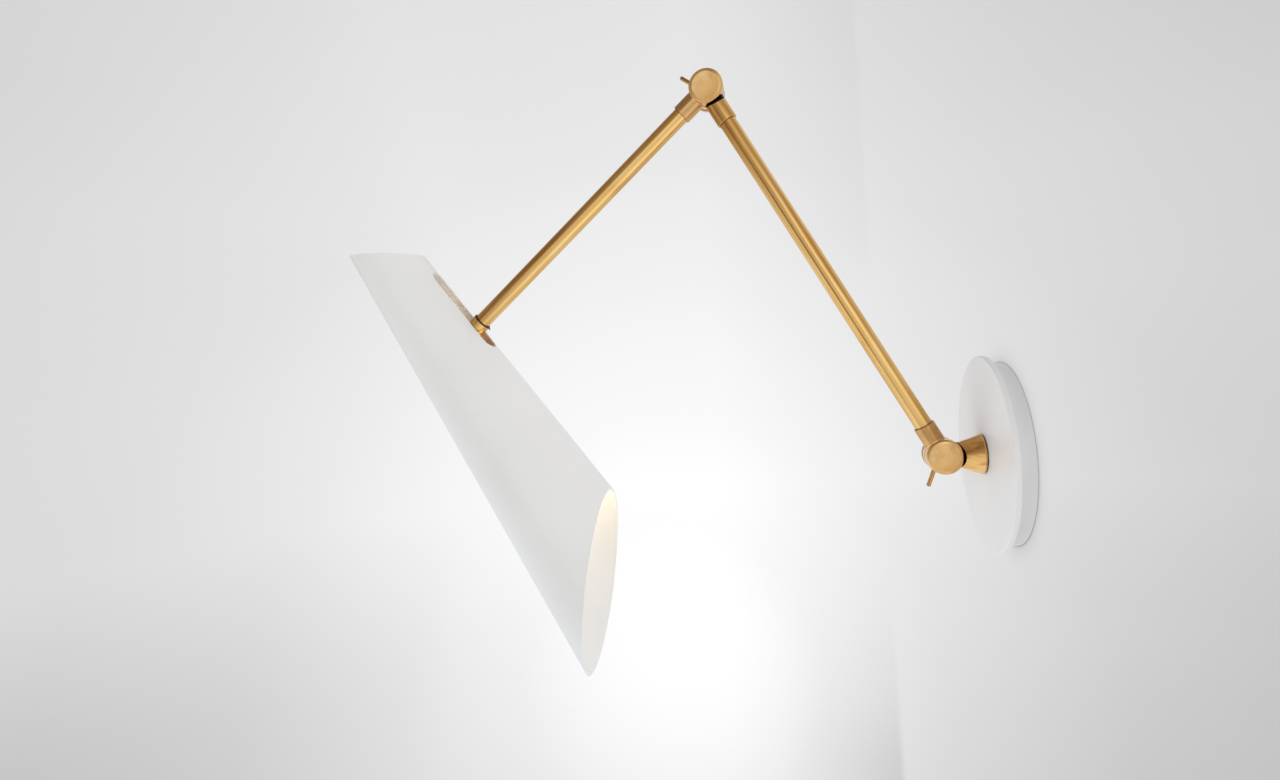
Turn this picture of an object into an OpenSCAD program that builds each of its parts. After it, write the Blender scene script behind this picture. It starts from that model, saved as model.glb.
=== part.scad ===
// Swing arm wall sconce: a round canopy on the wall, a swivelling flared stem,
// two tube arms joined by half-lap clamp knuckles, and an obliquely cut conical
// shade that tilts on a stem passing through a slot in its side.
// Millimetres. The wall is the plane y = 0, the lamp reaches towards -Y, +Z is up,
// and the origin is the centre of the canopy's back edge.

/* [Canopy] */
// Diameter of the front plate
canopy_d = 133; // [127:0.5:145]
// Diameter of the drum behind the front plate
drum_d = 122.4; // [120:0.2:125]
// Distance from the wall to the front face
canopy_h = 13.5; // [13.5:0.1:14.5]
// Depth of the front plate's rim
rim_t = 3.3; // [2.6:0.1:4]
// Radius on the front plate's edge
rim_round = 0.9; // [0.5:0.1:1.2]
// Wall thickness of the drum
canopy_wall = 1.5; // [1.2:0.1:1.8]
// Thickness of the front plate
face_t = 2; // [1.5:0.1:2]

/* [Mounting bar] */
// Length of the bar across the junction box
bar_len = 112; // [108:1:113]
// Width of the bar
bar_w = 19; // [16:1:22]
// Thickness of the bar
bar_t = 2; // [1.5:0.1:2.2]
// Distance between the centres of the two slots
slot_spacing = 79.4; // [76:0.1:82]
// Width of each slot
bar_slot_w = 4.6; // [4.3:0.1:5]
// End-to-end length of each slot
bar_slot_len = 14.2; // [10:0.1:15]

/* [Arms] */
// Outside diameter of both arm tubes
tube_d = 12; // [11.4:0.1:12.4]
// Wall thickness of the tubes
tube_wall = 1; // [0.8:0.1:1.2]
// Outside diameter of the sleeves that hold the tubes
sleeve_d = 14.4; // [14:0.1:15]
// Distance from the wall to the lower knuckle's axis
knuckle_y = 39; // [38.5:0.1:40]
// Lower arm, from knuckle axis to knuckle axis
lower_len = 305; // [240:5:380]
// Lower arm's lean out from the wall, from straight up
lower_angle = 28.1; // [5:0.1:60]
// Upper arm, from the elbow's axis to the shade's tilt axis
upper_len = 274.7; // [240:0.1:320]
// Upper arm's turn out from straight up
upper_angle = 128.6; // [100:0.1:140]

/* [Knuckles] */
// Diameter of the round knuckle faces
knuckle_d = 24; // [23:0.5:25]
// Depth of one knuckle half, from the joint's middle to its face
knuckle_half = 8.5; // [8:0.1:9.5]
// Radius on the edge of a knuckle face
knuckle_round = 1.9; // [1:0.1:2.4]
// Radius of the hollow that clears the other half's disc
saddle_r = 12.8; // [12.6:0.1:13.6]
// Diameter of the clamp stud
stud_d = 6; // [5:0.5:6]
// Depth of the clamp knob
knob_t = 5; // [4.6:0.1:6]
// Diameter of the lever rod in a clamp knob
lever_d = 3; // [2.2:0.1:3]
// Reach of the lever rod from the knuckle's axis
lever_reach = 25.4; // [20:0.1:32]
// Lean of the lever rod away from the arms
lever_lean = 12; // [0:1:12]
// Direction of the lower lever, from straight up
lower_lever_angle = 162; // [90:1:200]
// Direction of the elbow lever, from straight up
elbow_lever_angle = 50; // [0:1:90]

/* [Stem] */
// Diameter of the flared stem where it meets the canopy
stem_base_d = 27; // [25:0.5:30]
// Diameter of the flared stem beside the knuckle
stem_neck_d = 18; // [16:0.5:19]

/* [Shade] */
// Lean of the shade's axis, from straight up
shade_angle = 31.2; // [20:0.1:40]
// Half angle of the cone
cone_half_angle = 4.4; // [3.5:0.1:5]
// Outside radius of the cone at the tilt axis
shade_r = 31.5; // [31:0.1:33]
// Sheet thickness of the shade
shade_wall = 1; // [0.8:0.1:1.2]
// Height above the tilt axis at which the upper cut crosses the shade's axis
top_cut_h = 94.7; // [90:0.1:110]
// Slope of the upper cut against a square cut
top_cut_slope = 35.2; // [0:0.1:45]
// Depth below the tilt axis at which the lower cut crosses the shade's axis
low_cut_h = 208.2; // [200:0.1:230]
// Slope of the lower cut against a square cut
low_cut_slope = 49.2; // [0:0.1:55]
// Width of the slot for the stem
slot_w = 15.2; // [15:0.1:16]
// Height of the slot's upper end above the tilt axis
slot_top = 58.5; // [56:0.1:62]
// Depth of the slot's lower end below the tilt axis
slot_low = 16.8; // [16:0.1:20]
// Outside diameter of the collar at the end of the upper arm
collar_d = 14.5; // [14:0.1:14.6]

/* [Lamp] */
// Diameter of the tubular bulb
bulb_d = 31; // [28:1:34]
// Depth of the bulb's tip below the tilt axis
bulb_tip = 165.5; // [150:0.5:175]

/* [Hidden] */
$fn = 96;
e = 0.01;
run = 0.06;             // radial clearance of a running fit
half_gap = 0.4;         // each knuckle half stops this far short of the middle
tube_r = tube_d / 2;
sleeve_r = sleeve_d / 2;
knuckle_r = knuckle_d / 2;
stud_r = stud_d / 2;
seat = 14.5;            // tube ends sit this far from a knuckle's axis
front_reach = 24.8;     // sleeve length on a front half
back_reach = 28;        // sleeve length on a back half
collar_z = 238.35;      // start of the collar along the upper arm
shaft_r = 4.9;          // swivel shaft
shaft_bore = 3.2;
nipple_r = 4;
fit_z = -47;            // top face of the shade fitter
cone_t = tan(cone_half_angle);
elbow = [0, -knuckle_y - lower_len * sin(lower_angle), lower_len * cos(lower_angle)];
tilt = [0, elbow[1] - upper_len * sin(upper_angle), elbow[2] + upper_len * cos(upper_angle)];

BRASS = [0.72, 0.50, 0.23];
WHITE = [0.93, 0.93, 0.92];
STEEL = [0.66, 0.67, 0.69];
DARK = [0.09, 0.09, 0.10];

// ---- frames and shared shapes

module at_lower() translate([0, -knuckle_y, 0]) rotate([lower_angle, 0, 0]) children();
module at_lower_end() translate(elbow) rotate([lower_angle + 180, 0, 0]) children();
module at_upper() translate(elbow) rotate([upper_angle, 0, 0]) children();
module at_shade() translate(tilt) rotate([shade_angle, 0, 0]) children();
module at_stem() translate([0, -knuckle_y, 0]) rotate([-90, 0, 0]) children();
// Local +Z points at the wall, measured from it.
module at_wall() rotate([-90, 0, 0]) children();

module x_cyl(x0, x1, r) translate([x0, 0, 0]) rotate([0, 90, 0]) cylinder(h = x1 - x0, r = r);

// A disc about X from x0 to x1 with its far edge rounded; x1 may be the smaller.
module x_disc(x0, x1, r, round) {
    d = x1 > x0 ? 1 : -1;
    translate([x0, 0, 0]) rotate([0, 90 * d, 0]) rotate_extrude() {
        square([r - round, abs(x1 - x0)]);
        square([r, abs(x1 - x0) - round]);
        intersection() {
            translate([r - round, abs(x1 - x0) - round]) circle(r = round, $fn = 48);
            square([r + 1, abs(x1 - x0) + 1]);
        }
    }
}

// A ring about local Z.
module ring(z0, z1, r_in, r_out) translate([0, 0, z0]) difference() {
    cylinder(h = z1 - z0, r = r_out);
    translate([0, 0, -1]) cylinder(h = z1 - z0 + 2, r = r_in);
}

module x_ring(x0, x1, r_in, r_out) translate([x0, 0, 0]) rotate([0, 90, 0]) ring(0, x1 - x0, r_in, r_out);

// A hex nut about local Z.
module hex_nut(z0, z1, across, bore) translate([0, 0, z0]) difference() {
    cylinder(h = z1 - z0, r = across / 2 / cos(30), $fn = 6);
    translate([0, 0, -1]) cylinder(h = z1 - z0 + 2, r = bore);
}

// One half of a half-lap knuckle: axis along X, arm along +Z, disc on the +X side.
// The sleeve is full round and hollowed where the other half's disc turns.
module knuckle_half(reach, through) difference() {
    union() {
        x_disc(half_gap, knuckle_half, knuckle_r, knuckle_round);
        rotate_extrude() polygon([[0, 0], [sleeve_r, 0], [sleeve_r, reach - 0.35], [sleeve_r - 0.35, reach], [0, reach]]);
    }
    x_cyl(-20, half_gap, saddle_r);
    // groove that carries the wires round the stud
    x_ring(half_gap - 1, 4.9, stud_r + 1.6, 8.4);
    translate([0, 0, 7]) cylinder(h = 10, r = 3.2);
    translate([0, 0, seat]) cylinder(h = reach, r = tube_r);
    if (through) x_cyl(-1, knuckle_half + 1, stud_r + run);
    else x_cyl(-1, 6.2, stud_r);
}

module clamp_knob() difference() {
    x_disc(-9.2, -9.2 - knob_t, knuckle_r - 0.1, 1.5);
    x_cyl(-13.5, -9, stud_r + run);
    children();
}

// Lever rod on local +Z, leaning towards -X.
module lever_rod() translate([-11, 0, 5]) rotate([0, -lever_lean, 0]) rotate_extrude()
    polygon([[0, 0], [lever_d / 2, 0], [lever_d / 2, lever_len - 0.35], [lever_d / 2 - 0.35, lever_len], [0, lever_len]]);
lever_len = (lever_reach - 5) / cos(lever_lean);

module stud() x_cyl(-13.2, 6.2, stud_r);
module friction_ring() x_ring(-half_gap + 0.05, half_gap - 0.05, 9.3, knuckle_r - 0.7);
module knob_washer() x_ring(-9.2, -8.55, stud_r + run, 8);

module arm_tube(z0, z1) ring(z0, z1, tube_r - tube_wall, tube_r);

// ---- wall side

module canopy() color(WHITE) difference() {
    at_wall() rotate_extrude() {
        // front plate with a rounded front edge
        translate([0, -canopy_h]) square([canopy_d / 2 - rim_round, rim_t]);
        translate([0, -canopy_h + rim_round]) square([canopy_d / 2, rim_t - rim_round]);
        intersection() {
            translate([canopy_d / 2 - rim_round, -canopy_h + rim_round]) circle(r = rim_round, $fn = 48);
            translate([0, -canopy_h]) square([canopy_d, rim_t]);
        }
        // drum
        translate([0, -canopy_h + rim_t - e]) square([drum_d / 2, canopy_h - rim_t + e]);
    }
    at_wall() translate([0, 0, -canopy_h + face_t]) cylinder(h = canopy_h, r = drum_d / 2 - canopy_wall);
    at_wall() translate([0, 0, -canopy_h - 1]) cylinder(h = canopy_h, r = 6);
    for (s = [0, 180]) rotate([0, s, 0]) translate([0, -5.5, 40]) cylinder(h = 40, r = 2);
}

module mounting_bar() color(STEEL) difference() {
    union() {
        translate([-bar_w / 2, -bar_t, -bar_len / 2]) cube([bar_w, bar_t, bar_len]);
        for (s = [0, 180]) rotate([0, s, 0]) translate([-bar_w / 2, -9, bar_len / 2 - 2]) cube([bar_w, 9, 2]);
    }
    at_wall() translate([0, 0, -5]) cylinder(h = 10, r = 6);
    for (s = [-1, 1]) translate([0, 0, s * slot_spacing / 2]) at_wall() translate([0, 0, -5]) {
        for (k = [-1, 1]) translate([0, k * (bar_slot_len - bar_slot_w) / 2, 0]) cylinder(h = 10, r = bar_slot_w / 2);
        translate([-bar_slot_w / 2, -(bar_slot_len - bar_slot_w) / 2, 0]) cube([bar_slot_w, bar_slot_len - bar_slot_w, 10]);
    }
    translate([0, 0, 20]) at_wall() translate([0, 0, -5]) cylinder(h = 10, r = 2);
    for (s = [0, 180]) rotate([0, s, 0]) translate([0, -5.5, 40]) cylinder(h = 40, r = 2);
}

module canopy_screws() color(STEEL) for (s = [0, 180]) rotate([0, s, 0]) translate([0, -5.5, bar_len / 2 - 3]) difference() {
    cylinder(h = drum_d / 2 - bar_len / 2 + 2.8, r = 2);
    translate([0, 0, drum_d / 2 - bar_len / 2 + 0.8]) cylinder(h = 5, r = 1.1, $fn = 6);
}

module ground_screw() color([0.16, 0.42, 0.22]) translate([0, 0, 20]) at_wall() difference() {
    union() {
        translate([0, 0, -bar_t]) cylinder(h = bar_t, r = 2);
        rotate_extrude() polygon([[0, -bar_t - 2.4], [2.9, -bar_t - 2.4], [3.9, -bar_t - 1.5], [3.9, -bar_t], [0, -bar_t]]);
    }
    translate([-0.45, -5, -bar_t - 3]) cube([0.9, 10, 1.8]);
}

module swivel_bushing() color([0.9, 0.9, 0.86]) at_wall() difference() {
    union() {
        translate([0, 0, -canopy_h]) cylinder(h = face_t, r = 6);
        translate([0, 0, -canopy_h + face_t]) cylinder(h = 1, r = 9);
    }
    translate([0, 0, -canopy_h - 1]) cylinder(h = 6, r = shaft_r + run);
}

// ---- swivelling stem

// Local +Z runs from the knuckle to the wall; the stem ends half a millimetre off the canopy.
stem_end = knuckle_y - canopy_h - 0.5;

module stem_cone() color(BRASS) at_stem() difference() {
    union() {
        mirror([1, 0, 0]) x_disc(half_gap, knuckle_half, knuckle_r, knuckle_round);
        rotate_extrude() polygon([[0, 4], [stem_neck_d / 2 - 0.7, 4], [stem_neck_d / 2, 10.5],
            [stem_base_d / 2 - 0.15, stem_end - 1.7], [stem_base_d / 2, stem_end - 1.5],
            [stem_base_d / 2, stem_end - 0.4], [stem_base_d / 2 - 0.4, stem_end], [0, stem_end]]);
    }
    x_cyl(-half_gap, 20, saddle_r);
    // flat spot that the clamp knob and its washer turn on
    x_cyl(-20, -knuckle_half, knuckle_r + 0.25);
    mirror([1, 0, 0]) x_ring(half_gap - 1, 4.9, stud_r + 1.6, 8.4);
    translate([0, 0, 7]) cylinder(h = 40, r = shaft_bore);
    translate([0, 0, 15]) cylinder(h = 40, r = shaft_r);
    x_cyl(-20, 1, stud_r + run);
}

module swivel_shaft() color(STEEL) at_stem() ring(15, knuckle_y - 4, shaft_bore, shaft_r);
module shaft_nut() color(STEEL) at_wall() hex_nut(-canopy_h + face_t + 2, -canopy_h + face_t + 5.5, 16, shaft_r);
module shaft_washer() color(STEEL) at_wall() ring(-canopy_h + face_t + 1.1, -canopy_h + face_t + 2, shaft_r, 8.5);
module stem_washer() color([0.9, 0.9, 0.86]) at_wall() ring(-canopy_h - 0.5, -canopy_h - 0.05, shaft_r, 11.5);
module stem_cable() color(DARK) at_stem() translate([0, 0, 14]) cylinder(h = knuckle_y - 15, r = 3);

// ---- lower arm

module lower_knuckle_front() color(BRASS) at_lower() knuckle_half(front_reach, false);
module lower_tube() color(BRASS) at_lower() arm_tube(seat, lower_len - seat);
module elbow_knuckle_back() color(BRASS) at_lower_end() mirror([1, 0, 0]) knuckle_half(back_reach, true);
module lower_stud() color(STEEL) at_lower() stud();
module lower_friction_ring() color(DARK) at_lower() friction_ring();
module lower_cable() color(DARK) at_lower() translate([0, 0, 13.7]) cylinder(h = lower_len - 27.4, r = 3);

// ---- clamp knobs with lever rods

module lower_knob() color(BRASS) translate([0, -knuckle_y, 0]) rotate([lower_lever_angle, 0, 0]) clamp_knob() lever_rod();
module lower_lever_rod() color(BRASS) translate([0, -knuckle_y, 0]) rotate([lower_lever_angle, 0, 0]) lever_rod();
module lower_knob_washer() color(STEEL) translate([0, -knuckle_y, 0]) knob_washer();
module elbow_knob() color(BRASS) translate(elbow) rotate([elbow_lever_angle, 0, 0]) clamp_knob() lever_rod();
module elbow_lever_rod() color(BRASS) translate(elbow) rotate([elbow_lever_angle, 0, 0]) lever_rod();
module elbow_knob_washer() color(STEEL) translate(elbow) knob_washer();

// ---- upper arm

module elbow_knuckle_front() color(BRASS) at_upper() knuckle_half(front_reach, false);
module upper_tube() color(BRASS) at_upper() arm_tube(seat, collar_z - 0.55);
module elbow_stud() color(STEEL) at_upper() stud();
module elbow_friction_ring() color(DARK) at_upper() friction_ring();
module upper_cable() color(DARK) at_upper() translate([0, 0, 13.7]) cylinder(h = 208, r = 3);
// Turned pin in the tube's end that the collar turns on, with a hollow for the wires.
module arm_end_pin() color(STEEL) at_upper() rotate_extrude() polygon([
    [2, collar_z - 13], [tube_r - tube_wall, collar_z - 13], [tube_r - tube_wall, collar_z - 0.55], [3.5, collar_z - 0.55],
    [3.5, collar_z + 8], [4.9, collar_z + 8], [4.9, collar_z + 10.6], [2, collar_z + 10.6]]);
module end_washer() color(DARK) at_upper() {
    ring(collar_z - 0.55, collar_z - 0.15, 3.5, collar_d / 2 - 0.1);
    // stop lug, with a small head just clear of the collar
    translate([0, -collar_d / 2 + 0.6, collar_z - 0.35]) rotate([90, 0, 0]) {
        cylinder(h = 1.2, r = 0.16);
        translate([0, 0, 0.8]) cylinder(h = 1.2, r = 0.55);
    }
}

// ---- turning head

module swivel_collar() color(BRASS) at_upper() translate([0, 0, collar_z]) difference() {
    rotate_extrude() polygon([[0, 0], [collar_d / 2 - 0.25, 0], [collar_d / 2, 0.25], [collar_d / 2, 13.4], [collar_d / 2 - 0.25, 13.65], [0, 13.65]]);
    translate([0, 0, -1]) cylinder(h = 20, r = 3.5 + run);
    translate([0, 0, 7.9]) cylinder(h = 20, r = 5.2);
}

module tilt_eye() color(BRASS) at_upper() difference() {
    union() {
        translate([0, 0, collar_z + 11]) cylinder(h = upper_len - collar_z - 11, r = 5.2);
        translate([0, 0, upper_len]) x_cyl(-5, 5, 8);
    }
    for (s = [0, 180]) rotate([0, 0, s]) translate([5, -10, upper_len - 9.5]) cube([5, 20, 30]);
    translate([0, 0, upper_len]) x_cyl(-10, 10, 3 + run);
    // wire way, out at the side
    translate([0, 0, collar_z + 10]) cylinder(h = 12.5, r = 2);
    translate([0, 0, collar_z + 20.5]) rotate([90, 0, 0]) cylinder(h = 10, r = 2);
}

// ---- shade and lamp, all about the shade's axis with the tilt axis at the local origin

function cone_r(z) = shade_r - z * cone_t;

module shade_shell() color(WHITE) at_shade() difference() {
    rotate_extrude() polygon([[cone_r(-290) - shade_wall, -290], [cone_r(-290), -290], [cone_r(140), 140], [cone_r(140) - shade_wall, 140]]);
    translate([0, 0, -low_cut_h]) rotate([low_cut_slope, 0, 0]) translate([-200, -200, -300]) cube([400, 400, 300]);
    translate([0, 0, top_cut_h]) rotate([-top_cut_slope, 0, 0]) translate([-200, -200, 0]) cube([400, 400, 300]);
    // slot for the stem
    for (z = [slot_top - slot_w / 2, -slot_low + slot_w / 2]) translate([0, 5, z]) rotate([-90, 0, 0]) cylinder(h = 60, r = slot_w / 2);
    translate([-slot_w / 2, 5, -slot_low + slot_w / 2]) cube([slot_w, 60, slot_top + slot_low - slot_w]);
}

// Spider fixed inside the shade: a band on the wall, three arms and a centre ring.
module shade_fitter() color(WHITE) at_shade() difference() {
    union() {
        rotate_extrude() polygon([[cone_r(fit_z - 6) - shade_wall - 0.95, fit_z - 6], [cone_r(fit_z - 6) - shade_wall - 0.05, fit_z - 6],
            [cone_r(fit_z + 4) - shade_wall - 0.05, fit_z + 4], [cone_r(fit_z + 4) - shade_wall - 0.95, fit_z + 4]]);
        translate([0, 0, fit_z - 1.2]) cylinder(h = 1.2, r = 21.5);
        for (a = [30, 150, 270]) rotate([0, 0, a]) translate([15, -4.5, fit_z - 1.2]) cube([cone_r(fit_z) - shade_wall - 15.7, 9, 1.2]);
    }
    translate([0, 0, fit_z - 10]) cylinder(h = 20, r = 17.7);
}

module yoke() color(STEEL) at_shade() difference() {
    union() {
        translate([-7.6, -8, -18]) cube([15.2, 16, 2]);
        for (s = [0, 180]) rotate([0, 0, s]) {
            x_cyl(5.6, 7.6, 7);
            translate([5.6, -7, -17]) cube([2, 14, 17]);
        }
    }
    x_cyl(-20, 20, 3);
    translate([0, 0, -30]) cylinder(h = 20, r = nipple_r);
}

module tilt_screw() color(STEEL) at_shade() difference() {
    union() {
        x_cyl(-10.8, 7.6, 3);
        x_disc(7.6, 10, 5, 0.8);
    }
    x_cyl_hex(8.6, 11, 1.7);
}
module x_cyl_hex(x0, x1, r) translate([x0, 0, 0]) rotate([0, 90, 0]) cylinder(h = x1 - x0, r = r, $fn = 6);
module tilt_nut() color(STEEL) at_shade() rotate([0, -90, 0]) hex_nut(7.6, 10.2, 10, 3);
module tilt_washers() color(DARK) at_shade() for (s = [0, 180]) rotate([0, 0, s]) x_ring(5.05, 5.6, 3, 7);

module nipple() color(STEEL) at_shade() ring(-27, -12.6, 2.8, nipple_r);
module nipple_nuts() color(STEEL) at_shade() {
    rotate([0, 0, 30]) hex_nut(-15.98, -13.4, 10.8, nipple_r);
    hex_nut(-20, -18.02, 12, nipple_r);
}
module socket_cap() color(BRASS) at_shade() rotate_extrude()
    polygon([[nipple_r, -20], [9, -20], [17, -26.5], [17, -34], [15.8, -34], [15.8, -27], [8.6, -21.2], [nipple_r, -21.2]]);
module socket_body() color(DARK) at_shade() difference() {
    rotate_extrude() polygon([[0, -29], [15.8, -29], [15.8, -34], [17, -34], [17, fit_z + 2], [19.5, fit_z + 2], [19.5, fit_z], [17.5, fit_z], [17.5, -64], [0, -64]]);
    translate([0, 0, -65]) cylinder(h = 28, r = 13.9);
    for (s = [-1, 1]) translate([0, 1.4 * s, -40]) cylinder(h = 20, r = 1.1);
}
module screw_shell() color([0.80, 0.64, 0.34]) at_shade() ring(-62, -37, 13.3, 13.9);
module centre_contact() color([0.80, 0.64, 0.34]) at_shade() {
    translate([0, 0, -38.4]) cylinder(h = 0.6, r = 4);
    translate([-1.5, -1.5, -37.81]) cube([3, 3, 0.81]);
}
module shade_ring() color(DARK) at_shade() ring(fit_z - 6, fit_z - 1.2, 17.5, 21.5);
module socket_leads() color([0.85, 0.85, 0.82]) at_shade() for (s = [-1, 1]) translate([0, 1.4 * s, -36.5]) cylinder(h = 23.9, r = 1.1);

module bulb_cap() color([0.78, 0.78, 0.76]) at_shade() ring(-63, -41, 12.6, 13.2);
module bulb_insulator() color(DARK) at_shade() rotate_extrude() polygon([[0, -42.5], [12.6, -42.5], [12.6, -41], [5, -39.4], [4, -38.4], [0, -38.4]]);
module bulb_glass() color([0.98, 0.95, 0.86]) at_shade() difference() {
    union() {
        rotate_extrude() polygon([[0, -56], [12.6, -56], [12.6, -63], [13.2, -65], [bulb_d / 2, -74], [bulb_d / 2, -bulb_tip + bulb_d / 2], [0, -bulb_tip + bulb_d / 2]]);
        translate([0, 0, -bulb_tip + bulb_d / 2]) sphere(r = bulb_d / 2);
    }
    rotate_extrude() polygon([[0, -50], [11.7, -50], [11.7, -64], [12.2, -65.6], [bulb_d / 2 - 1, -74.4], [bulb_d / 2 - 1, -bulb_tip + bulb_d / 2], [0, -bulb_tip + bulb_d / 2]]);
    translate([0, 0, -bulb_tip + bulb_d / 2]) sphere(r = bulb_d / 2 - 1);
}

canopy();
mounting_bar();
canopy_screws();
ground_screw();
swivel_bushing();
stem_cone();
swivel_shaft();
shaft_nut();
shaft_washer();
stem_washer();
stem_cable();
lower_knuckle_front();
lower_tube();
elbow_knuckle_back();
lower_stud();
lower_friction_ring();
lower_cable();
lower_knob();
lower_lever_rod();
lower_knob_washer();
elbow_knuckle_front();
upper_tube();
elbow_stud();
elbow_friction_ring();
upper_cable();
arm_end_pin();
end_washer();
elbow_knob();
elbow_lever_rod();
elbow_knob_washer();
swivel_collar();
tilt_eye();
shade_shell();
shade_fitter();
yoke();
tilt_screw();
tilt_nut();
tilt_washers();
nipple();
nipple_nuts();
socket_cap();
socket_body();
screw_shell();
centre_contact();
shade_ring();
socket_leads();
bulb_cap();
bulb_insulator();
bulb_glass();
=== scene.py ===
import bpy, math
from mathutils import Vector, Matrix


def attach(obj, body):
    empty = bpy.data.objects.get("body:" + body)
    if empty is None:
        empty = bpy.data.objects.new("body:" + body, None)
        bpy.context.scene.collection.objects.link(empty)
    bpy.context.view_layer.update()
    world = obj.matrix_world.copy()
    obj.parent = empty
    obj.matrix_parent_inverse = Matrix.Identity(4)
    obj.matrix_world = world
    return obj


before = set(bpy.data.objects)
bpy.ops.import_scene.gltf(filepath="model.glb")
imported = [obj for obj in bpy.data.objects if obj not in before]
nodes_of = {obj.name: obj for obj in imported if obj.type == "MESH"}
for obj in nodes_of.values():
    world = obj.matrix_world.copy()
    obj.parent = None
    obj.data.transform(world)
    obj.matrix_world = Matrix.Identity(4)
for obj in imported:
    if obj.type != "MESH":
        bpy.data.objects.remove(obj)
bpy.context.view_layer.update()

scene = bpy.context.scene


def deg(a):
    return math.radians(a)


# the frame's own points, in metres
ELBOW = Vector((0.0, -0.18265862, 0.26904869))
TILT = Vector((0.0, -0.39734230, 0.09766897))
KNUCKLE = Vector((0.0, -0.039, 0.0))
LOWER_DIR = (ELBOW - KNUCKLE).normalized()
UPPER_DIR = (TILT - ELBOW).normalized()
SHADE_DIR = Vector((0.0, -math.sin(deg(31.2)), math.cos(deg(31.2))))

# ------------------------------------------------------------------ materials


class Mat:
    """One node material, with short helpers for the nodes that it is made of."""

    def __init__(self, name, base, rough, metal=0.0, **sockets):
        self.m = bpy.data.materials.new(name)
        self.m.use_nodes = True
        self.t = self.m.node_tree
        self.n = self.t.nodes
        self.n.clear()
        self.out = self.n.new("ShaderNodeOutputMaterial")
        self.b = self.n.new("ShaderNodeBsdfPrincipled")
        self.link(self.b.outputs[0], self.out.inputs[0])
        self.b.inputs["Base Color"].default_value = (*base, 1)
        self.b.inputs["Roughness"].default_value = rough
        self.b.inputs["Metallic"].default_value = metal
        for k, v in sockets.items():
            self.b.inputs[k.replace("_", " ")].default_value = v
        self.base = base
        self.coord = self.n.new("ShaderNodeTexCoord").outputs["Object"]

    def link(self, a, b):
        self.t.links.new(a, b)

    def along(self, axis, stretch=(1, 1, 1), origin=(0, 0, 0)):
        """Object coordinates turned so that Z runs along axis, then scaled."""
        q = Vector(axis).rotation_difference(Vector((0, 0, 1))).to_euler("XYZ")
        shift = self.n.new("ShaderNodeVectorMath")
        shift.operation = "SUBTRACT"
        shift.inputs[1].default_value = tuple(origin)
        self.link(self.coord, shift.inputs[0])
        mp = self.n.new("ShaderNodeMapping")
        mp.inputs["Rotation"].default_value = tuple(q)
        self.link(shift.outputs[0], mp.inputs["Vector"])
        sc = self.n.new("ShaderNodeVectorMath")
        sc.operation = "MULTIPLY"
        sc.inputs[1].default_value = tuple(stretch)
        self.link(mp.outputs[0], sc.inputs[0])
        return sc.outputs[0]

    def noise(self, vec, scale, detail=3.0, rough=0.55, distort=0.0):
        t = self.n.new("ShaderNodeTexNoise")
        t.inputs["Scale"].default_value = scale
        t.inputs["Detail"].default_value = detail
        t.inputs["Roughness"].default_value = rough
        t.inputs["Distortion"].default_value = distort
        self.link(vec, t.inputs["Vector"])
        return t.outputs["Fac"]

    def ramp(self, fac, stops):
        r = self.n.new("ShaderNodeValToRGB")
        e = r.color_ramp.elements
        while len(e) > 1:
            e.remove(e[-1])
        e[0].position, c = stops[0][0], stops[0][1]
        e[0].color = (*c, 1) if hasattr(c, "__len__") else (c, c, c, 1)
        for p, c in stops[1:]:
            x = e.new(p)
            x.color = (*c, 1) if hasattr(c, "__len__") else (c, c, c, 1)
        self.link(fac, r.inputs["Fac"])
        return r.outputs["Color"]

    def math(self, op, a, b=None, clamp=False):
        m = self.n.new("ShaderNodeMath")
        m.operation = op
        m.use_clamp = clamp
        for i, v in enumerate((a, b)):
            if v is None:
                continue
            if hasattr(v, "is_output"):
                self.link(v, m.inputs[i])
            else:
                m.inputs[i].default_value = v
        return m.outputs[0]

    def mix(self, fac, a, b, mode="MIX"):
        m = self.n.new("ShaderNodeMix")
        m.data_type = "RGBA"
        m.blend_type = mode
        ins = {"Factor": m.inputs[0], "A": m.inputs[6], "B": m.inputs[7]}
        for k, v in (("Factor", fac), ("A", a), ("B", b)):
            if hasattr(v, "is_output"):
                self.link(v, ins[k])
            elif k == "Factor":
                ins[k].default_value = v
            else:
                ins[k].default_value = (*v, 1)
        return m.outputs[2]

    def bump(self, height, strength, dist, base=None):
        bp = self.n.new("ShaderNodeBump")
        bp.inputs["Strength"].default_value = strength
        bp.inputs["Distance"].default_value = dist
        self.link(height, bp.inputs["Height"])
        if base is not None:
            self.link(base, bp.inputs["Normal"])
        return bp.outputs[0]

    def set(self, socket, value):
        self.link(value, self.b.inputs[socket])


def radius_from(mat, axis, origin):
    """Distance from a turning axis through origin."""
    v = mat.along(axis, (1, 1, 0), origin)
    ln = mat.n.new("ShaderNodeVectorMath")
    ln.operation = "LENGTH"
    mat.link(v, ln.inputs[0])
    return ln.outputs["Value"]


BRASS = {"tube": (0.76, 0.455, 0.150), "turned": (0.79, 0.470, 0.185), "cone": (0.93, 0.535, 0.180)}
BRASS_DEEP = (0.40, 0.185, 0.050)
BRASS_LIGHT = (0.88, 0.63, 0.30)


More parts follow.
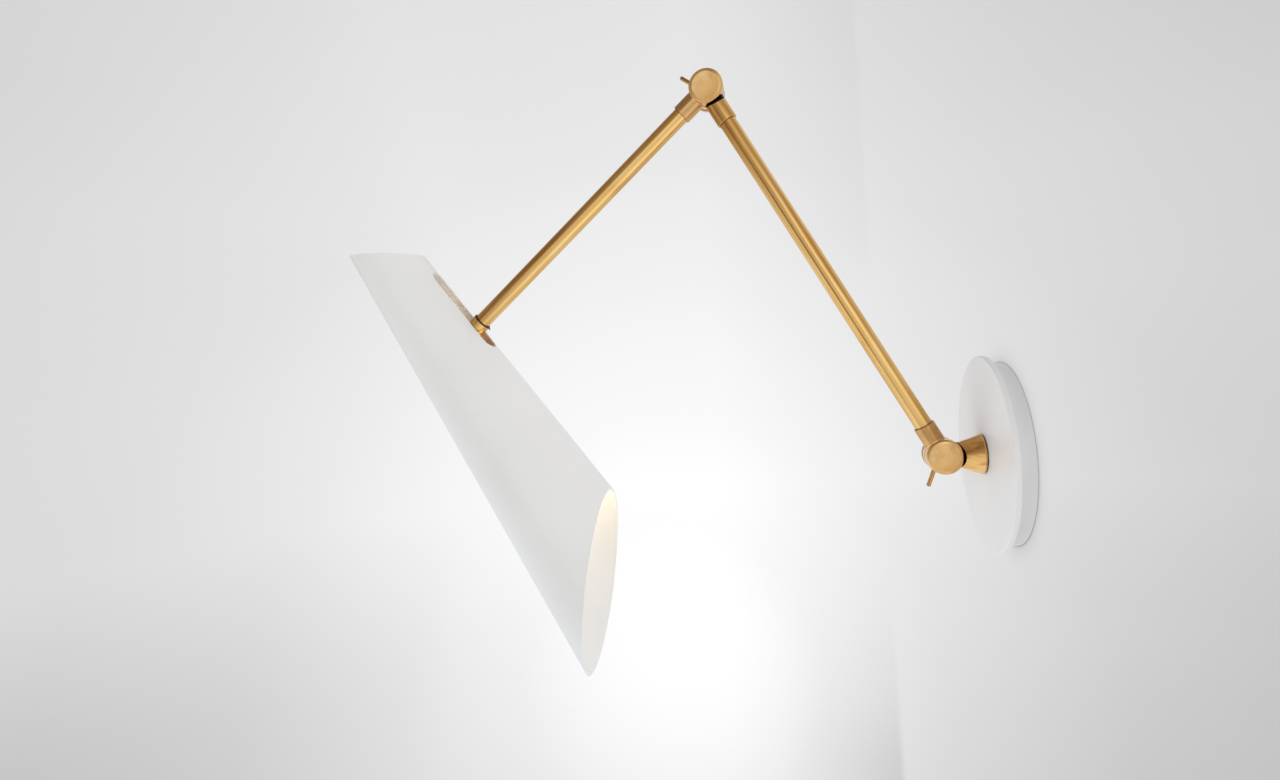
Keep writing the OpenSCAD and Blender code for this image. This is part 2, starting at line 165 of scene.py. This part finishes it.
def brass(name, axis, origin=(0, 0, 0), kind="tube", rough=0.24, recess=None):
    """Hand-rubbed antique brass: patches of patina, rubbing marks along the tube or round the turned part, painted
    shade in gaps and seams, and on the knuckles a painted highlight across the face.
    """
    tint = BRASS[kind]
    m = Mat(name, tint, rough, 1.0)
    straight = m.along(axis, (1, 1, 1), origin)
    patch = m.noise(m.along(axis, (1, 1, 0.22), origin) if kind != "turned" else straight, 70, 3, 0.55, 0.3)
    grain = m.noise(straight, 1500, 3, 0.6)
    if kind != "turned":
        lines = m.noise(m.along(axis, (1, 1, 0.012), origin), 1100, 3, 0.6)
        broad = m.noise(m.along(axis, (1, 1, 0.02), origin), 260, 2, 0.5)
    else:
        r = radius_from(m, axis, origin)
        out = []
        for scale, detail in ((1900, 3), (420, 2)):
            t = m.n.new("ShaderNodeTexNoise")
            t.noise_dimensions = "1D"
            t.inputs["Scale"].default_value = scale
            t.inputs["Detail"].default_value = detail
            t.inputs["Roughness"].default_value = 0.6
            m.link(r, t.inputs["W"])
            out.append(t.outputs["Fac"])
        lines, broad = out
    tone = m.ramp(patch, [(0.28, BRASS_DEEP), (0.48, tint), (0.74, BRASS_LIGHT)])
    col = m.mix(0.55 if kind != "turned" else 0.42, tint, tone)
    streak = m.ramp(broad, [(0.36, (0.60, 0.47, 0.34)), (0.52, (1, 1, 1)), (0.72, (1.10, 1.10, 1.08))])
    col = m.mix(0.70 if kind != "turned" else 0.12, col, m.mix(1.0, col, streak, "MULTIPLY"))
    hair = m.ramp(lines, [(0.35, (0.86, 0.83, 0.79)), (0.6, (1, 1, 1))])
    col = m.mix(0.5, col, m.mix(1.0, col, hair, "MULTIPLY"))
    # painted shade: the colour goes near black in narrow gaps and seams, found by ambient occlusion, together with
    # darkened patina in the seams
    ao = m.n.new("ShaderNodeAmbientOcclusion")
    ao.samples = 12
    ao.inputs["Distance"].default_value = 0.0035
    patina_and_gap_shade = m.ramp(ao.outputs["AO"], [(0.30, (0.045, 0.030, 0.018)), (0.55, (0.45, 0.36, 0.27)), (0.80, (1, 1, 1))])
    col = m.mix(1.0, col, patina_and_gap_shade, "MULTIPLY")
    sleeve = None
    if "knuckle" in name:
        # the sleeve beyond the disc is handled less: darker and smoother than the face
        sleeve = m.math("DIVIDE", m.math("SUBTRACT", r, 0.0122), 0.0008, clamp=True)
        # and the face is painted brighter and cooler towards its upper front edge and darker towards its lower back:
        # a painted highlight and painted shade
        at = m.n.new("ShaderNodeSeparateXYZ")
        m.link(m.coord, at.inputs[0])
        lift = m.math("SUBTRACT", m.math("SUBTRACT", at.outputs[2], origin[2]), m.math("SUBTRACT", at.outputs[1], origin[1]))
        lift = m.math("ADD", m.math("DIVIDE", lift, 0.0276), 0.5)
        painted_sheen = m.ramp(lift, [(0.0, (0.86, 0.77, 0.66)), (0.5, (1, 1, 1)), (1.0, (1.22, 1.36, 1.55))])
        face = m.mix(1.0 if name == "brass_knuckle_high" else 0.45, col, m.mix(1.0, col, painted_sheen, "MULTIPLY"))
        col = m.mix(sleeve, face, m.mix(1.0, col, (0.76, 0.70, 0.65), "MULTIPLY"))
    if recess is not None:
        # painted shade, near black, where the sleeve stands under the other half's disc: wider on one side of the
        # arm
        turn = radius_from(m, X, recess)
        world = m.n.new("ShaderNodeSeparateXYZ")
        m.link(m.coord, world.inputs[0])
        lean = m.math("MULTIPLY", m.math("SUBTRACT", world.outputs[1], recess[1]), 0.12)
        lean = m.math("ADD", lean, m.math("MULTIPLY", m.math("SUBTRACT", world.outputs[2], recess[2]), 0.07))
        edge = m.math("SUBTRACT", turn, lean)
        recess_shade = m.math("DIVIDE", m.math("SUBTRACT", 0.0146, edge), 0.0004, clamp=True)
        recess_shade = m.math("MULTIPLY", recess_shade, m.math("GREATER_THAN", world.outputs[0], 0.0002))
        col = m.mix(recess_shade, col, (0.006, 0.005, 0.004))
    m.set("Base Color", col)
    rr = m.math("ADD", m.math("MULTIPLY", lines, 0.10), m.math("MULTIPLY", patch, 0.12))
    rr = m.math("ADD", rr, rough - 0.11)
    if sleeve is not None:
        rr = m.math("SUBTRACT", rr, m.math("MULTIPLY", sleeve, 0.08))
    m.set("Roughness", rr)
    nrm = m.bump(lines, 0.14, 0.00002)
    if kind == "turned":
        # the turned step round each knuckle's face
        step = m.math("DIVIDE", m.math("SUBTRACT", 0.0103, r), 0.0008, clamp=True)
        nrm = m.bump(step, 1.0, 0.00022, nrm)
    nrm = m.bump(grain, 0.03, 0.00001, nrm)
    m.set("Normal", nrm)
    return m.m


def painted(name, base=(0.83, 0.83, 0.825), rough=0.40, warm=0.0):
    """Powder coat: a fine orange-peel surface with a slight unevenness of tone."""
    m = Mat(name, base, rough, 0.0)
    v = m.coord
    peel = m.noise(v, 620, 3, 0.5)
    fine = m.noise(v, 2400, 2, 0.5)
    tone = m.noise(v, 14, 3, 0.55)
    dark = tuple(c * 0.972 for c in base)
    light = tuple(min(1.0, c * 1.018) for c in base)
    m.set("Base Color", m.ramp(tone, [(0.3, dark), (0.5, base), (0.7, light)]))
    m.set("Roughness", m.math("ADD", m.math("MULTIPLY", peel, 0.10), rough - 0.05))
    n = m.bump(peel, 0.10, 0.00012)
    m.set("Normal", m.bump(fine, 0.06, 0.00004, n))
    return m.m


def shade_paint(name):
    """The shade's powder coat, with painted shade on the inside round the arm's slot: warm brown at the slot's lower
    end, greyer and fainter higher up.
    """
    base = (0.83, 0.83, 0.825)
    m = Mat(name, base, 0.40, 0.0)
    peel = m.noise(m.coord, 620, 3, 0.5)
    fine = m.noise(m.coord, 2400, 2, 0.5)
    tone = m.noise(m.coord, 14, 3, 0.55)
    col = m.ramp(tone, [(0.3, (0.807, 0.807, 0.802)), (0.5, base), (0.7, (0.845, 0.845, 0.84))])
    v = m.along(SHADE_DIR, (1, 1, 1), TILT)
    sep = m.n.new("ShaderNodeSeparateXYZ")
    m.link(v, sep.inputs[0])
    out = radius_from(m, SHADE_DIR, TILT)
    skin = m.math("ADD", out, m.math("MULTIPLY", sep.outputs[2], math.tan(deg(4.4))))     # the cone's radius brought to the tilt axis
    inside = m.math("LESS_THAN", skin, 0.0310)
    place = m.math("DIVIDE", m.math("ADD", sep.outputs[2], 0.024), 0.080)
    # painted shade: warm brown inside the slot's lower end, then grey shade fading out towards the slot's upper end
    slot_shade = m.ramp(place, [(0.05, (1, 1, 1)), (0.07, (1.0, 0.60, 0.36)), (0.33, (1.0, 0.60, 0.36)), (0.41, (0.68, 0.58, 0.50)), (0.61, (0.86, 0.83, 0.80)), (0.93, (0.94, 0.94, 0.94)), (1.0, (1, 1, 1))])
    world = m.n.new("ShaderNodeSeparateXYZ")
    m.link(m.coord, world.inputs[0])
    near = m.math("LESS_THAN", m.math("ABSOLUTE", world.outputs[0]), 0.023)
    front = m.math("GREATER_THAN", world.outputs[1], TILT.y)
    mask = m.math("MULTIPLY", m.math("MULTIPLY", inside, near), front)
    m.set("Base Color", m.mix(mask, col, m.mix(1.0, col, slot_shade, "MULTIPLY")))
    m.set("Roughness", m.math("ADD", m.math("MULTIPLY", peel, 0.10), 0.35))
    n = m.bump(peel, 0.10, 0.00012)
    m.set("Normal", m.bump(fine, 0.06, 0.00004, n))
    return m.m


def canopy_paint(name):
    """The plate's powder coat: as on the shade, with painted shade darkening the rim and the drum that stand next to
    the wall.
    """
    m = Mat(name, (0.85, 0.85, 0.85), 0.42, 0.0)
    sep = m.n.new("ShaderNodeSeparateXYZ")
    m.link(m.coord, sep.inputs[0])
    near = m.math("ADD", m.math("MULTIPLY", sep.outputs[1], 100.0), 1.35)    # 0 at the front face, 1.35 at the wall
    tone = m.noise(m.coord, 16, 3, 0.55)
    peel = m.noise(m.coord, 620, 3, 0.5)
    # painted shade: lighter on the front face, darker on the rim and the drum towards the wall
    drum_shade = m.ramp(near, [(0.0, (0.88, 0.88, 0.885)), (0.03, (0.88, 0.88, 0.885)), (0.06, (0.80, 0.80, 0.805)), (0.33, (0.78, 0.78, 0.785)), (0.36, (0.72, 0.72, 0.725)), (1.0, (0.68, 0.68, 0.685))])
    m.set("Base Color", m.mix(1.0, drum_shade, m.ramp(tone, [(0.3, (0.97, 0.97, 0.97)), (0.7, (1, 1, 1))]), "MULTIPLY"))
    m.set("Roughness", m.math("ADD", m.math("MULTIPLY", peel, 0.10), 0.37))
    m.set("Normal", m.bump(peel, 0.10, 0.00012))
    return m.m


def plated(name, base, rough=0.32, scale=500, metal=1.0):
    """Zinc or nickel plate: fine cloudy crystals, slightly uneven gloss."""
    m = Mat(name, base, rough, metal)
    v = m.coord
    cloud = m.noise(v, scale, 4, 0.6)
    spots = m.noise(v, scale * 0.22, 3, 0.5)
    m.set("Base Color", m.ramp(cloud, [(0.3, tuple(c * 0.82 for c in base)), (0.55, base), (0.75, tuple(min(1, c * 1.10) for c in base))]))
    m.set("Roughness", m.math("ADD", m.math("MULTIPLY", spots, 0.22), rough - 0.10))
    m.set("Normal", m.bump(cloud, 0.12, 0.00004))
    return m.m


def dull(name, base, rough=0.55, scale=900, spread=0.25, bump=0.2, coat=0.0):
    """Moulded or fibrous material: grain in tone, gloss and relief."""
    m = Mat(name, base, rough, 0.0)
    if coat:
        m.b.inputs["Coat Weight"].default_value = coat
        m.b.inputs["Coat Roughness"].default_value = 0.15
    v = m.coord
    g = m.noise(v, scale, 4, 0.6)
    big = m.noise(v, scale * 0.08, 3, 0.5)
    m.set("Base Color", m.ramp(big, [(0.3, tuple(c * (1 - spread) for c in base)), (0.7, tuple(min(1, c * (1 + spread)) for c in base))]))
    m.set("Roughness", m.math("ADD", m.math("MULTIPLY", g, 0.2), rough - 0.1))
    m.set("Normal", m.bump(g, bump, 0.00006))
    return m.m


def cable_sheath(name, axis, origin, base):
    """Woven sheath over the arm's cable: two crossing sets of helical ribs."""
    m = Mat(name, base, 0.6, 0.0)
    v = m.along(axis, (1, 1, 1), origin)
    sep = m.n.new("ShaderNodeSeparateXYZ")
    m.link(v, sep.inputs[0])
    ang = m.math("ARCTAN2", sep.outputs[1], sep.outputs[0])
    a = m.math("SINE", m.math("ADD", m.math("MULTIPLY", sep.outputs[2], 3600), m.math("MULTIPLY", ang, 8)))
    b = m.math("SINE", m.math("SUBTRACT", m.math("MULTIPLY", sep.outputs[2], 3600), m.math("MULTIPLY", ang, 8)))
    h = m.math("MAXIMUM", a, b)
    # painted shade: darker in the grooves between the ribs
    m.set("Base Color", m.ramp(m.math("MULTIPLY", h, 0.5), [(0.0, tuple(c * 0.6 for c in base)), (0.5, base)]))
    m.set("Normal", m.bump(h, 0.4, 0.0002))
    return m.m


def bulb_glass(name):
    """Inside-frosted lamp glass, lit: the warm light is strongest at its middle."""
    m = Mat(name, (0.98, 0.94, 0.86), 0.35, 0.0)
    v = m.along(SHADE_DIR, (1, 1, 1), TILT)
    cloud = m.noise(v, 90, 3, 0.5)
    sep = m.n.new("ShaderNodeSeparateXYZ")
    m.link(v, sep.inputs[0])
    zz = m.math("ADD", m.math("MULTIPLY", sep.outputs[2], 9.0), 1.45)   # about 0 at the tip, 0.9 at the neck
    glow = m.ramp(m.math("ADD", zz, m.math("MULTIPLY", cloud, 0.12)),
                  [(0.0, (1.0, 0.80, 0.55)), (0.35, (1.0, 0.86, 0.64)), (0.75, (1.0, 0.74, 0.46)), (1.0, (0.8, 0.5, 0.3))])
    m.set("Emission Color", glow)
    m.b.inputs["Emission Strength"].default_value = 2.35
    m.set("Base Color", m.ramp(cloud, [(0.3, (0.96, 0.92, 0.84)), (0.7, (0.99, 0.96, 0.90))]))
    m.set("Normal", m.bump(cloud, 0.05, 0.0001))
    return m.m


X = (1, 0, 0)
M = {
    "brass_lower": brass("brass_lower", LOWER_DIR, KNUCKLE),
    "brass_upper": brass("brass_upper", UPPER_DIR, ELBOW),
    "brass_elbow_back": brass("brass_elbow_back", LOWER_DIR, KNUCKLE, "tube", 0.20, ELBOW),
    "brass_knuckle_low": brass("brass_knuckle_low", X, KNUCKLE, "turned", 0.29),
    "brass_knuckle_high": brass("brass_knuckle_high", X, ELBOW, "turned", 0.29),
    "brass_cone": brass("brass_cone", (0, -1, 0), (0, 0, 0), "cone", 0.25),
    "brass_pivot": brass("brass_pivot", X, TILT, "turned", 0.32),
    "brass_cap": brass("brass_cap", SHADE_DIR, TILT, "turned", 0.32),
    "white": painted("white_powder"),
    "white_canopy": canopy_paint("white_canopy"),
    "white_shade": shade_paint("white_shade"),
    "zinc": plated("zinc_plate", (0.60, 0.61, 0.63), 0.36),
    "green": plated("green_chromate", (0.10, 0.33, 0.15), 0.4, 700, 0.55),
    "nickel": plated("nickel_plate", (0.66, 0.64, 0.60), 0.25, 800),
    "shell": plated("shell_brass", (0.72, 0.52, 0.22), 0.26, 600),
    "nylon": dull("natural_nylon", (0.80, 0.79, 0.73), 0.45, 700, 0.04, 0.1),
    "fibre": dull("black_fibre", (0.022, 0.020, 0.020), 0.6, 1500, 0.4, 0.3),
    "phenolic": dull("phenolic", (0.028, 0.022, 0.020), 0.32, 1100, 0.3, 0.1, 0.3),
    "porcelain": dull("glazed_porcelain", (0.80, 0.79, 0.76), 0.22, 300, 0.03, 0.04, 0.5),
    "sheath_low": cable_sheath("sheath_lower", LOWER_DIR, KNUCKLE, (0.05, 0.045, 0.04)),
    "sheath_up": cable_sheath("sheath_upper", UPPER_DIR, ELBOW, (0.05, 0.045, 0.04)),
    "sheath_stem": cable_sheath("sheath_stem", (0, -1, 0), (0, 0, 0), (0.05, 0.045, 0.04)),
    "lead": dull("lead_insulation", (0.80, 0.79, 0.75), 0.3, 600, 0.05, 0.08),
    "bulb": bulb_glass("lamp_glass"),
}
WEAR = {
    "canopy": "white_canopy", "mounting_bar": "zinc", "canopy_screws": "zinc", "ground_screw": "green",
    "swivel_bushing": "nylon", "stem_cone": "brass_cone", "swivel_shaft": "zinc", "shaft_nut": "zinc",
    "shaft_washer": "zinc", "stem_washer": "nylon", "stem_cable": "sheath_stem",
    "lower_knob": "brass_knuckle_low", "lower_lever_rod": "brass_knuckle_low", "lower_knob_washer": "zinc",
    "lower_knuckle_front": "brass_knuckle_low", "lower_tube": "brass_lower",
    "elbow_knuckle_back": "brass_elbow_back", "lower_stud": "zinc", "lower_friction_ring": "fibre",
    "lower_cable": "sheath_low", "elbow_knob": "brass_knuckle_high", "elbow_lever_rod": "brass_knuckle_high",
    "elbow_knob_washer": "zinc", "elbow_knuckle_front": "brass_knuckle_high", "upper_tube": "brass_upper",
    "elbow_stud": "zinc", "elbow_friction_ring": "fibre", "upper_cable": "sheath_up", "arm_end_pin": "zinc",
    "end_washer": "fibre", "swivel_collar": "brass_upper", "tilt_eye": "brass_pivot",
    "shade_shell": "white_shade", "shade_fitter": "white", "yoke": "zinc", "tilt_screw": "zinc", "tilt_nut": "zinc",
    "tilt_washers": "fibre", "nipple": "zinc", "nipple_nuts": "zinc", "socket_cap": "brass_cap",
    "socket_body": "porcelain", "screw_shell": "shell", "centre_contact": "shell", "shade_ring": "porcelain",
    "socket_leads": "lead", "bulb_cap": "nickel", "bulb_insulator": "phenolic", "bulb_glass": "bulb",
}
for name, key in WEAR.items():
    o = nodes_of[name]
    if not o.material_slots:
        o.data.materials.append(M[key])
    for s in o.material_slots:
        s.material = M[key]

# ------------------------------------------------------------------ stage


def mesh_object(name, verts, faces, mat, smooth=False):
    me = bpy.data.meshes.new(name)
    me.from_pydata([tuple(v) for v in verts], [], faces)
    me.update()
    o = bpy.data.objects.new(name, me)
    scene.collection.objects.link(o)
    me.materials.append(mat)
    if smooth:
        for p in me.polygons:
            p.use_smooth = True
    return o


FZ = -0.95
fm = Mat("floor_painted_light", (0.50, 0.503, 0.507), 0.9)
soft = fm.noise(fm.coord, 1.2, 3, 0.5)
fm.set("Base Color", fm.ramp(soft, [(0.3, (0.495, 0.498, 0.502)), (0.7, (0.505, 0.508, 0.512))]))
fm.set("Normal", fm.bump(fm.noise(fm.coord, 60, 2, 0.5), 0.04, 0.001))
aim = fm.n.new("ShaderNodeVectorMath")
aim.operation = "SUBTRACT"
aim.inputs[1].default_value = (0.49646, -0.14099, 0.08898)
fm.link(fm.coord, aim.inputs[0])
unit = fm.n.new("ShaderNodeVectorMath")
unit.operation = "NORMALIZE"
fm.link(aim.outputs[0], unit.inputs[0])
toward = fm.n.new("ShaderNodeVectorMath")
toward.operation = "DOT_PRODUCT"
toward.inputs[1].default_value = tuple(Vector((-0.8805, -0.1761, -0.4402)).normalized())
fm.link(unit.outputs[0], toward.inputs[0])


def grey(socket, low, high, stops):
    """Grey by place: a ramp of light over the range low..high of the socket."""
    t = fm.math("DIVIDE", fm.math("SUBTRACT", socket, low), high - low)
    return fm.ramp(t, [((v - low) / (high - low), (g, g, g * 1.002)) for v, g in stops])


# painted light on the backdrop: a pool of light brightest along one line of sight from the camera's place, with
# painted shade towards the sides, top and bottom
glow = grey(toward.outputs["Value"], 0.6, 1.0, [(0.6, 0.486), (0.75, 0.472), (0.86, 0.506), (0.94, 0.572), (0.98, 0.650), (1.0, 0.765)])
across = fm.n.new("ShaderNodeSeparateXYZ")
fm.link(unit.outputs[0], across.inputs[0])
far_side = grey(across.outputs[1], -0.9, 0.65, [(-0.9, 0.246), (-0.45, 0.044), (-0.1, 0.0), (0.25, 0.111), (0.65, 0.235)])
height = grey(across.outputs[2], -0.6, 0.6, [(-0.6, 0.182), (-0.2, 0.0), (0.2, 0.053), (0.6, 0.183)])
glow = fm.mix(1.0, fm.mix(1.0, glow, far_side, "SUBTRACT"), height, "SUBTRACT")
# painted shade of a faint room corner: a little darker on its left, seen from the camera's place
beside = fm.n.new("ShaderNodeVectorMath")
beside.operation = "DOT_PRODUCT"
beside.inputs[1].default_value = (0.12413567, 0.99224459, 0.00640383)
fm.link(unit.outputs[0], beside.inputs[0])
left_of = grey(beside.outputs["Value"], -0.2, 0.02, [(-0.2, 0.0), (-0.14, 0.0), (-0.004, 1.0), (0.003, 0.0), (0.02, 0.0)])
depth = grey(across.outputs[2], -0.64, 0.62, [(-0.64, 0.0), (-0.57, 0.120), (-0.525, 0.120), (-0.466, 0.057), (-0.379, 0.020), (-0.30, 0.0), (0.05, 0.0), (0.15, 0.026), (0.30, 0.020), (0.39, 0.030), (0.62, 0.0)])
glow = fm.mix(1.0, glow, fm.mix(1.0, left_of, depth, "MULTIPLY"), "SUBTRACT")
fm.set("Emission Color", glow)
fm.b.inputs["Emission Strength"].default_value = 1.0
prof = [(0.0, FZ), (1.0, FZ), (2.0, FZ)]
for i in range(0, 13):
    a = math.pi / 2 * i / 12
    prof.append((2.2 + 1.2 * math.sin(a), FZ + 1.2 * (1 - math.cos(a))))
prof += [(3.4, 1.6), (3.4, 3.2)]
SEG = 96
verts = [(0, 0, FZ)]
faces = []
for r, z in prof[1:]:
    verts += [(r * math.cos(2 * math.pi * i / SEG), r * math.sin(2 * math.pi * i / SEG), z) for i in range(SEG)]
for i in range(SEG):
    faces.append((0, 1 + (i + 1) % SEG, 1 + i))
for k in range(len(prof) - 2):
    for i in range(SEG):
        p, q = 1 + k * SEG, 1 + (k + 1) * SEG
        faces.append((p + i, p + (i + 1) % SEG, q + (i + 1) % SEG, q + i))
floor = mesh_object("studio_floor", verts, faces, fm.m, True)
floor.visible_diffuse = False
floor.visible_glossy = False
floor.visible_transmission = False
floor.visible_shadow = False

# the plate's soft contact shadow on the wall: a thin ring just behind the wall plane, clear where there is no shadow
sm = bpy.data.materials.new("wall_shadow")
sm.use_nodes = True
sn, sl = sm.node_tree.nodes, sm.node_tree.links
sn.clear()
s_out = sn.new("ShaderNodeOutputMaterial")
s_mix = sn.new("ShaderNodeMixShader")
s_clear = sn.new("ShaderNodeBsdfTransparent")
s_dark = sn.new("ShaderNodeEmission")
s_dark.inputs[0].default_value = (0.12, 0.12, 0.12, 1)
s_co = sn.new("ShaderNodeTexCoord")
s_len = sn.new("ShaderNodeVectorMath")
s_len.operation = "LENGTH"
s_ramp = sn.new("ShaderNodeMapRange")
s_ramp.inputs["From Min"].default_value = 0.0600
s_ramp.inputs["From Max"].default_value = 0.0800
s_fall = sn.new("ShaderNodeValToRGB")
el = s_fall.color_ramp.elements
el[0].position, el[0].color = 0.0, (0.62, 0.62, 0.62, 1)
el[1].position, el[1].color = 1.0, (0, 0, 0, 1)
for place, much in ((0.075, 0.60), (0.10, 0.26), (0.18, 0.15), (0.35, 0.075), (0.60, 0.025)):
    x = el.new(place)
    x.color = (much, much, much, 1)
sl.new(s_co.outputs["Object"], s_len.inputs[0])
sl.new(s_len.outputs["Value"], s_ramp.inputs["Value"])
sl.new(s_ramp.outputs[0], s_fall.inputs[0])
sl.new(s_fall.outputs[0], s_mix.inputs[0])
sl.new(s_clear.outputs[0], s_mix.inputs[1])
sl.new(s_dark.outputs[0], s_mix.inputs[2])
sl.new(s_mix.outputs[0], s_out.inputs[0])
RIM = 96
rv, rf = [], []
for k, r in enumerate((0.0600, 0.0630, 0.0800)):
    rv += [(r * math.cos(2 * math.pi * i / RIM), 0.0003, r * math.sin(2 * math.pi * i / RIM)) for i in range(RIM)]
for k in range(2):
    for i in range(RIM):
        j = (i + 1) % RIM
        rf.append((k * RIM + i, k * RIM + j, (k + 1) * RIM + j, (k + 1) * RIM + i))
ring = mesh_object("wall_shadow_ring", rv, rf, sm)
ring.visible_diffuse = False
ring.visible_glossy = False
ring.visible_transmission = False
ring.visible_shadow = False

# ------------------------------------------------------------------ light


def area(name, where, target, size, power, colour=(1, 1, 1), size_y=None):
    d = bpy.data.lights.new(name, "AREA")
    d.energy = power
    d.color = colour
    d.shape = "RECTANGLE" if size_y else "SQUARE"
    d.size = size
    if size_y:
        d.size_y = size_y
    o = bpy.data.objects.new(name, d)
    scene.collection.objects.link(o)
    o.location = where
    o.rotation_mode = "QUATERNION"
    o.rotation_quaternion = (Vector(target) - Vector(where)).to_track_quat("-Z", "Y")
    o.visible_glossy = False
    return o


MID = Vector((0.0, -0.25, 0.1))
SKY_BASE = 0.79
SKY = [
    ((0.10, -0.60, 0.79), 10, 40, -0.72),     # the dark ceiling over the room
    ((0.79, -0.52, -0.32), 5, 14, -0.66),     # a dark stand beside the camera
    ((0.53, 0.75, 0.40), 4, 24, 0.55),        # the bright wall on the right
    ((-0.20, 0.95, -0.20), 20, 60, 0.20),     # the lit wall behind the plate
    ((-0.10, -0.92, -0.38), 15, 60, 0.40),    # the pale floor on the left
    ((0.98, 0.05, 0.10), 8, 32, 0.08),        # the light round the camera
]
GLOSS_BASE = 0.86
GLOSS = [
    ((0.0, -0.60, 0.80), 64, 77, -0.50),      # the dark ceiling over the room
    ((0.95, 0.0, 0.34), 6, 21, 0.30),       # the light above the camera
    ((0.50, 0.45, -0.74), 4, 24, 0.50),       # the bright floor by the wall
    ((0.91, 0.34, 0.23), 4, 20, 0.42),        # the window behind the camera
    ((0.71, -0.64, -0.28), 5, 16, -0.64),     # a dark stand beside the camera
    ((0.0, -0.90, -0.42), 15, 42, 0.28),      # the pale floor on the left
    ((0.20, 0.83, 0.52), 12, 44, -0.13),      # the shaded wall on the right
]
area("key_right", MID + Vector((0.533, 0.746, 0.397)) * 1.6, MID, 0.7, 1.35, (1.0, 0.98, 0.96))
area("soft_front", MID + Vector((1.5, -0.5, 0.35)), MID, 1.2, 1.0, (0.98, 0.99, 1.0))

up_light = bpy.data.lights.new("light_past_holder", "POINT")
up_light.energy = 0.011
up_light.color = (1.0, 0.80, 0.60)
up_light.shadow_soft_size = 0.006
up_lamp = bpy.data.objects.new("light_past_holder", up_light)
scene.collection.objects.link(up_lamp)
up_lamp.location = TILT + SHADE_DIR * 0.030 + Vector((0.006, -0.012, -0.006))
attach(up_lamp, "shade")

w = bpy.data.worlds.new("studio_world")
scene.world = w
w.use_nodes = True
wt = w.node_tree
wt.nodes.clear()
wo = wt.nodes.new("ShaderNodeOutputWorld")
bg_seen = wt.nodes.new("ShaderNodeBackground")
bg_seen.inputs[0].default_value = (0.76, 0.765, 0.77, 1)
bg_lit = wt.nodes.new("ShaderNodeBackground")
bg_gloss = wt.nodes.new("ShaderNodeBackground")
tc = wt.nodes.new("ShaderNodeTexCoord")


def patch_of_sky(direction, inner, outer, change):
    """A soft round patch of the studio that is brighter or darker than the rest."""
    dt = wt.nodes.new("ShaderNodeVectorMath")
    dt.operation = "DOT_PRODUCT"
    dt.inputs[1].default_value = tuple(Vector(direction).normalized())
    wt.links.new(tc.outputs["Generated"], dt.inputs[0])
    mr = wt.nodes.new("ShaderNodeMapRange")
    mr.interpolation_type = "SMOOTHSTEP"
    mr.inputs["From Min"].default_value = math.cos(deg(outer))
    mr.inputs["From Max"].default_value = math.cos(deg(inner))
    mr.inputs["To Min"].default_value = 0.0
    mr.inputs["To Max"].default_value = change
    wt.links.new(dt.outputs["Value"], mr.inputs["Value"])
    return mr.outputs[0]


def surroundings(base, patches):
    """The studio's brightness by direction: an even base and soft patches."""
    total = None
    for args in patches:
        o = patch_of_sky(*args)
        if total is None:
            total = o
        else:
            ad = wt.nodes.new("ShaderNodeMath")
            ad.operation = "ADD"
            wt.links.new(total, ad.inputs[0])
            wt.links.new(o, ad.inputs[1])
            total = ad.outputs[0]
    ad = wt.nodes.new("ShaderNodeMath")
    ad.operation = "ADD"
    ad.inputs[1].default_value = base
    wt.links.new(total, ad.inputs[0])
    return ad.outputs[0]


wt.links.new(surroundings(SKY_BASE, SKY), bg_lit.inputs[1])
bg_lit.inputs[0].default_value = (1.0, 0.995, 0.99, 1)
# what the metal mirrors: the same room with its darks warmer and its lights cooler
seen = surroundings(GLOSS_BASE, GLOSS)
wt.links.new(seen, bg_gloss.inputs[1])
tinge = wt.nodes.new("ShaderNodeValToRGB")
tinge.color_ramp.elements[0].position = 0.25
tinge.color_ramp.elements[0].color = (1.0, 0.80, 0.66, 1)
tinge.color_ramp.elements[1].position = 0.70
tinge.color_ramp.elements[1].color = (1.0, 1.0, 0.99, 1)
top = tinge.color_ramp.elements.new(1.0)
top.color = (1.0, 1.09, 1.22, 1)
wt.links.new(seen, tinge.inputs[0])
wt.links.new(tinge.outputs[0], bg_gloss.inputs[0])
lp = wt.nodes.new("ShaderNodeLightPath")
mixg = wt.nodes.new("ShaderNodeMixShader")
wt.links.new(lp.outputs["Is Glossy Ray"], mixg.inputs[0])
wt.links.new(bg_lit.outputs[0], mixg.inputs[1])
wt.links.new(bg_gloss.outputs[0], mixg.inputs[2])
mixw = wt.nodes.new("ShaderNodeMixShader")
wt.links.new(lp.outputs["Is Camera Ray"], mixw.inputs[0])
wt.links.new(mixg.outputs[0], mixw.inputs[1])
wt.links.new(bg_seen.outputs[0], mixw.inputs[2])
wt.links.new(mixw.outputs[0], wo.inputs[0])

scene.view_settings.view_transform = "Standard"
scene.view_settings.look = "None"
scene.view_settings.exposure = 0.0
scene.view_settings.gamma = 1.0

# ------------------------------------------------------------------ camera

cam_data = bpy.data.cameras.new("camera")
cam = bpy.data.objects.new("camera", cam_data)
scene.collection.objects.link(cam)
cam_data.sensor_fit = "HORIZONTAL"
cam_data.sensor_width = 36.0
cam_data.lens = 19.145
cam_data.clip_start = 0.01
cam_data.clip_end = 100.0
right = Vector((-0.20559352, 0.97543496, -0.07910712))
up = Vector((-0.07417784, 0.06506901, 0.99511993))
fwd = Vector((-0.97582219, -0.2104582, -0.05897789))
m = Matrix(((right.x, up.x, -fwd.x, 0.49646), (right.y, up.y, -fwd.y, -0.14099), (right.z, up.z, -fwd.z, 0.08898), (0, 0, 0, 1)))
cam.matrix_world = m
scene.camera = cam
